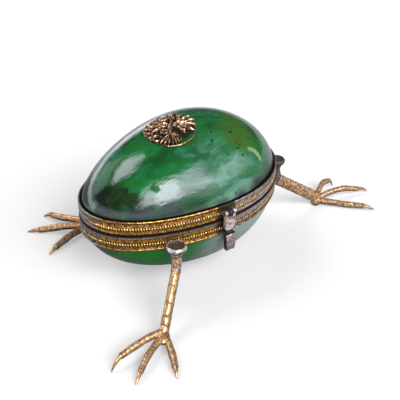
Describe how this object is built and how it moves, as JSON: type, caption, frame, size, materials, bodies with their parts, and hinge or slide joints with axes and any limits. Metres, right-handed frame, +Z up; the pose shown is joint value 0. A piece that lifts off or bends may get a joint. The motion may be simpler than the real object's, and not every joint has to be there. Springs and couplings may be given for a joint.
{
  "type": "jewelled egg trinket box",
  "caption": "Hollow hardstone egg box lying on its side, split and hinged between two gilt bands, with a clasp, an openwork emblem and cast bird's legs.",
  "frame": {"origin": "middle of the bounding box, on the table that the feet stand on", "axes": "+X along the egg towards its blunt end, -Y towards the clasp, +Y towards the hinge, +Z up"},
  "size_m": [0.1392, 0.1, 0.0533],
  "materials": {
    "stone": "polished green hardstone with black specks and paler clouds",
    "gilt": "silver gilt, milled, rubbed to grey silver in places, dark in the recesses",
    "silver": "worn silver with traces of gilding",
    "rose_gold": "rose gold openwork, dark in the recesses",
    "leg_gilt": "cast and chased silver gilt, brown in the recesses"
  },
  "bodies": {
    "base": {"bowl_stone": "stone", "bowl_band": "gilt", "hinge_pin": "silver", "leg_front": "leg_gilt", "leg_left": "leg_gilt", "leg_right": "leg_gilt"},
    "lid": {"lid_stone": "stone", "lid_band": "gilt", "emblem": "rose_gold", "clasp_pin": "silver"},
    "clasp": {"clasp_tongue": "silver"}
  },
  "joints": [
    {"name": "lid_hinge", "type": "hinge", "parent": "base", "child": "lid", "pos_m": [-0.00717, 0.02453, 0.0266], "axis": [-1, 0, 0], "range_deg": [0, 100]},
    {"name": "clasp_hinge", "type": "hinge", "parent": "lid", "child": "clasp", "pos_m": [-0.0169, -0.02926, 0.03], "axis": [-0.9925, 0.1219, 0], "range_deg": [0, 90]}
  ]
}
